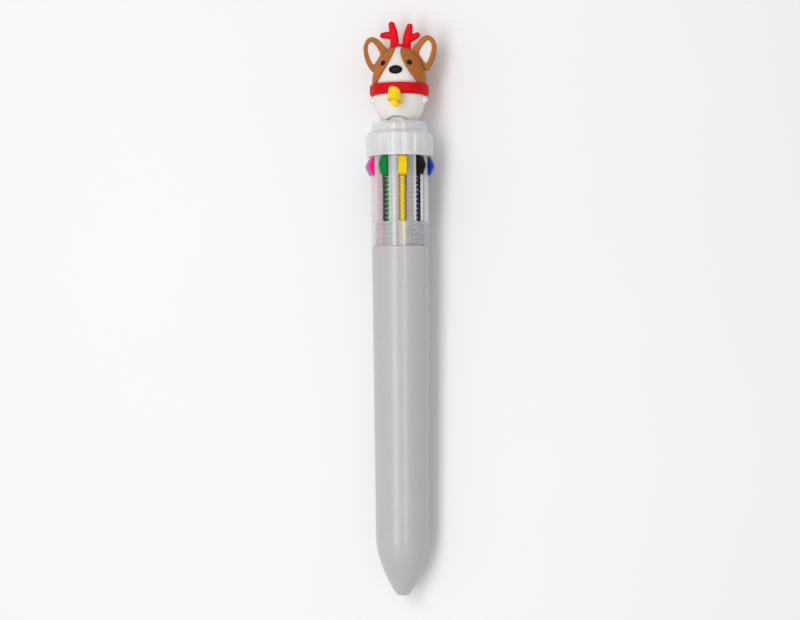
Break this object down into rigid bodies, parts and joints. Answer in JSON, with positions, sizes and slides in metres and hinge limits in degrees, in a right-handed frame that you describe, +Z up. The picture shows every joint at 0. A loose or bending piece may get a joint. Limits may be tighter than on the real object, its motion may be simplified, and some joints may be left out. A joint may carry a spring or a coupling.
{
  "type": "multicolor click pen",
  "caption": "Click pen with sliding colour buttons round a frosted slotted housing, a grey tapered barrel and a dog figure with red antlers on its end.",
  "frame": {"origin": "centre of the bounding box's underside, on the table the pen lies on", "axes": "+Y along the pen from the writing end to the figure, +Z up, the side of the pen that the figure faces; the axis climbs 1.17 degrees towards the figure"},
  "size_m": [0.0222, 0.1724, 0.0233],
  "materials": {
    "barrel_grey": "satin",
    "frosted_clear": "frosted, translucent",
    "natural_white": "moulded",
    "spring_steel": "drawn wire",
    "nib_metal": "turned",
    "figure_white": "soft matte",
    "figure_brown": "soft matte",
    "figure_red": "soft matte",
    "figure_gold": "soft matte",
    "figure_black": "soft matte",
    "ink_yellow": "glossy",
    "ink_black": "glossy",
    "ink_blue": "glossy",
    "ink_purple": "glossy",
    "ink_orange": "glossy",
    "ink_red": "glossy",
    "ink_brown": "glossy",
    "ink_light_blue": "glossy",
    "ink_pink": "glossy",
    "ink_green": "glossy"
  },
  "bodies": {
    "pen_body": {"lower_barrel": "barrel_grey", "slotted_housing": "frosted_clear", "spring_seat": "natural_white", "crown_ring": "frosted_clear", "end_plug": "frosted_clear", "figure_peg": "natural_white", "spring_yellow": "spring_steel", "spring_black": "spring_steel", "spring_blue": "spring_steel", "spring_purple": "spring_steel", "spring_orange": "spring_steel", "spring_red": "spring_steel", "spring_brown": "spring_steel", "spring_light_blue": "spring_steel", "spring_pink": "spring_steel", "spring_green": "spring_steel"},
    "figure": {"figure_torso": "figure_white", "figure_head": "figure_white", "figure_collar": "figure_red", "figure_bell": "figure_gold", "figure_antler_band": "figure_red", "figure_nose": "figure_black", "figure_patch_left": "figure_brown", "figure_ear_left": "figure_brown", "figure_ear_lining_left": "figure_white", "figure_eye_left": "figure_black", "figure_patch_right": "figure_brown", "figure_ear_right": "figure_brown", "figure_ear_lining_right": "figure_white", "figure_eye_right": "figure_black"},
    "pusher_yellow": {"button_yellow": "ink_yellow"},
    "refill_yellow": {"refill_tube_yellow": "ink_yellow", "nib_yellow": "nib_metal"},
    "pusher_black": {"button_black": "ink_black"},
    "refill_black": {"refill_tube_black": "ink_black", "nib_black": "nib_metal"},
    "pusher_blue": {"button_blue": "ink_blue"},
    "refill_blue": {"refill_tube_blue": "ink_blue", "nib_blue": "nib_metal"},
    "pusher_purple": {"button_purple": "ink_purple"},
    "refill_purple": {"refill_tube_purple": "ink_purple", "nib_purple": "nib_metal"},
    "pusher_orange": {"button_orange": "ink_orange"},
    "refill_orange": {"refill_tube_orange": "ink_orange", "nib_orange": "nib_metal"},
    "pusher_red": {"button_red": "ink_red"},
    "refill_red": {"refill_tube_red": "ink_red", "nib_red": "nib_metal"},
    "pusher_brown": {"button_brown": "ink_brown"},
    "refill_brown": {"refill_tube_brown": "ink_brown", "nib_brown": "nib_metal"},
    "pusher_light_blue": {"button_light_blue": "ink_light_blue"},
    "refill_light_blue": {"refill_tube_light_blue": "ink_light_blue", "nib_light_blue": "nib_metal"},
    "pusher_pink": {"button_pink": "ink_pink"},
    "refill_pink": {"refill_tube_pink": "ink_pink", "nib_pink": "nib_metal"},
    "pusher_green": {"button_green": "ink_green"},
    "refill_green": {"refill_tube_green": "ink_green", "nib_green": "nib_metal"}
  },
  "joints": [
    {"name": "figure_swivel", "type": "hinge", "parent": "pen_body", "child": "figure", "pos_m": [-0.00006, 0.05883, 0.01057], "axis": [0, 0.9998, 0.0203], "continuous": true},
    {"name": "push_yellow", "type": "slide", "parent": "pen_body", "child": "pusher_yellow", "axis": [0, -0.9998, -0.0203], "range_m": [0, 0.0136], "stiffness_N_per_m": 60, "springref_m": -0.004, "deforming": ["spring_yellow", "refill_tube_yellow", "nib_yellow"]},
    {"name": "tilt_yellow", "type": "hinge", "parent": "pusher_yellow", "child": "refill_yellow", "pos_m": [0.00187, 0.02821, 0.01589], "axis": [0.9511, 0.0063, -0.309], "range_deg": [0, 2.1], "deforming": ["refill_tube_yellow", "nib_yellow"]},
    {"name": "push_black", "type": "slide", "parent": "pen_body", "child": "pusher_black", "axis": [0, -0.9998, -0.0203], "range_m": [0, 0.0136], "stiffness_N_per_m": 60, "springref_m": -0.004, "deforming": ["spring_black", "refill_tube_black", "nib_black"]},
    {"name": "tilt_black", "type": "hinge", "parent": "pusher_black", "child": "refill_black", "pos_m": [0.00499, 0.02826, 0.01362], "axis": [0.5878, 0.0165, -0.8088], "range_deg": [0, 2.1], "deforming": ["refill_tube_black", "nib_black"]},
    {"name": "push_blue", "type": "slide", "parent": "pen_body", "child": "pusher_blue", "axis": [0, -0.9998, -0.0203], "range_m": [0, 0.0136], "stiffness_N_per_m": 60, "springref_m": -0.004, "deforming": ["spring_blue", "refill_tube_blue", "nib_blue"]},
    {"name": "tilt_blue", "type": "hinge", "parent": "pusher_blue", "child": "refill_blue", "pos_m": [0.00619, 0.02834, 0.00995], "axis": [0, 0.0203, -0.9998], "range_deg": [0, 2.1], "deforming": ["refill_tube_blue", "nib_blue"]},
    {"name": "push_purple", "type": "slide", "parent": "pen_body", "child": "pusher_purple", "axis": [0, -0.9998, -0.0203], "range_m": [0, 0.0136], "stiffness_N_per_m": 60, "springref_m": -0.004, "deforming": ["spring_purple", "refill_tube_purple", "nib_purple"]},
    {"name": "tilt_purple", "type": "hinge", "parent": "pusher_purple", "child": "refill_purple", "pos_m": [0.00499, 0.02841, 0.00627], "axis": [-0.5878, 0.0165, -0.8088], "range_deg": [0, 2.1], "deforming": ["refill_tube_purple", "nib_purple"]},
    {"name": "push_orange", "type": "slide", "parent": "pen_body", "child": "pusher_orange", "axis": [0, -0.9998, -0.0203], "range_m": [0, 0.0136], "stiffness_N_per_m": 60, "springref_m": -0.004, "deforming": ["spring_orange", "refill_tube_orange", "nib_orange"]},
    {"name": "tilt_orange", "type": "hinge", "parent": "pusher_orange", "child": "refill_orange", "pos_m": [0.00187, 0.02846, 0.004], "axis": [-0.9511, 0.0063, -0.309], "range_deg": [0, 2.1], "deforming": ["refill_tube_orange", "nib_orange"]},
    {"name": "push_red", "type": "slide", "parent": "pen_body", "child": "pusher_red", "axis": [0, -0.9998, -0.0203], "range_m": [0, 0.0136], "stiffness_N_per_m": 60, "springref_m": -0.004, "deforming": ["spring_red", "refill_tube_red", "nib_red"]},
    {"name": "tilt_red", "type": "hinge", "parent": "pusher_red", "child": "refill_red", "pos_m": [-0.00199, 0.02846, 0.004], "axis": [-0.9511, -0.0063, 0.309], "range_deg": [0, 2.1], "deforming": ["refill_tube_red", "nib_red"]},
    {"name": "push_brown", "type": "slide", "parent": "pen_body", "child": "pusher_brown", "axis": [0, -0.9998, -0.0203], "range_m": [0, 0.0136], "stiffness_N_per_m": 60, "springref_m": -0.004, "deforming": ["spring_brown", "refill_tube_brown", "nib_brown"]},
    {"name": "tilt_brown", "type": "hinge", "parent": "pusher_brown", "child": "refill_brown", "pos_m": [-0.00512, 0.02841, 0.00627], "axis": [-0.5878, -0.0165, 0.8088], "range_deg": [0, 2.1], "deforming": ["refill_tube_brown", "nib_brown"]},
    {"name": "push_light_blue", "type": "slide", "parent": "pen_body", "child": "pusher_light_blue", "axis": [0, -0.9998, -0.0203], "range_m": [0, 0.0136], "stiffness_N_per_m": 60, "springref_m": -0.004, "deforming": ["spring_light_blue", "refill_tube_light_blue", "nib_light_blue"]},
    {"name": "tilt_light_blue", "type": "hinge", "parent": "pusher_light_blue", "child": "refill_light_blue", "pos_m": [-0.00631, 0.02834, 0.00995], "axis": [0, -0.0203, 0.9998], "range_deg": [0, 2.1], "deforming": ["refill_tube_light_blue", "nib_light_blue"]},
    {"name": "push_pink", "type": "slide", "parent": "pen_body", "child": "pusher_pink", "axis": [0, -0.9998, -0.0203], "range_m": [0, 0.0136], "stiffness_N_per_m": 60, "springref_m": -0.004, "deforming": ["spring_pink", "refill_tube_pink", "nib_pink"]},
    {"name": "tilt_pink", "type": "hinge", "parent": "pusher_pink", "child": "refill_pink", "pos_m": [-0.00512, 0.02826, 0.01362], "axis": [0.5878, -0.0165, 0.8088], "range_deg": [0, 2.1], "deforming": ["refill_tube_pink", "nib_pink"]},
    {"name": "push_green", "type": "slide", "parent": "pen_body", "child": "pusher_green", "axis": [0, -0.9998, -0.0203], "range_m": [0, 0.0136], "stiffness_N_per_m": 60, "springref_m": -0.004, "deforming": ["spring_green", "refill_tube_green", "nib_green"]},
    {"name": "tilt_green", "type": "hinge", "parent": "pusher_green", "child": "refill_green", "pos_m": [-0.00199, 0.02821, 0.01589], "axis": [0.9511, -0.0063, 0.309], "range_deg": [0, 2.1], "deforming": ["refill_tube_green", "nib_green"]}
  ],
  "couplings": [
    {"joint": "tilt_yellow", "follows": "push_yellow", "rad_per_m": 2.56},
    {"joint": "tilt_black", "follows": "push_black", "rad_per_m": 2.56},
    {"joint": "tilt_blue", "follows": "push_blue", "rad_per_m": 2.56},
    {"joint": "tilt_purple", "follows": "push_purple", "rad_per_m": 2.56},
    {"joint": "tilt_orange", "follows": "push_orange", "rad_per_m": 2.56},
    {"joint": "tilt_red", "follows": "push_red", "rad_per_m": 2.56},
    {"joint": "tilt_brown", "follows": "push_brown", "rad_per_m": 2.56},
    {"joint": "tilt_light_blue", "follows": "push_light_blue", "rad_per_m": 2.56},
    {"joint": "tilt_pink", "follows": "push_pink", "rad_per_m": 2.56},
    {"joint": "tilt_green", "follows": "push_green", "rad_per_m": 2.56}
  ]
}
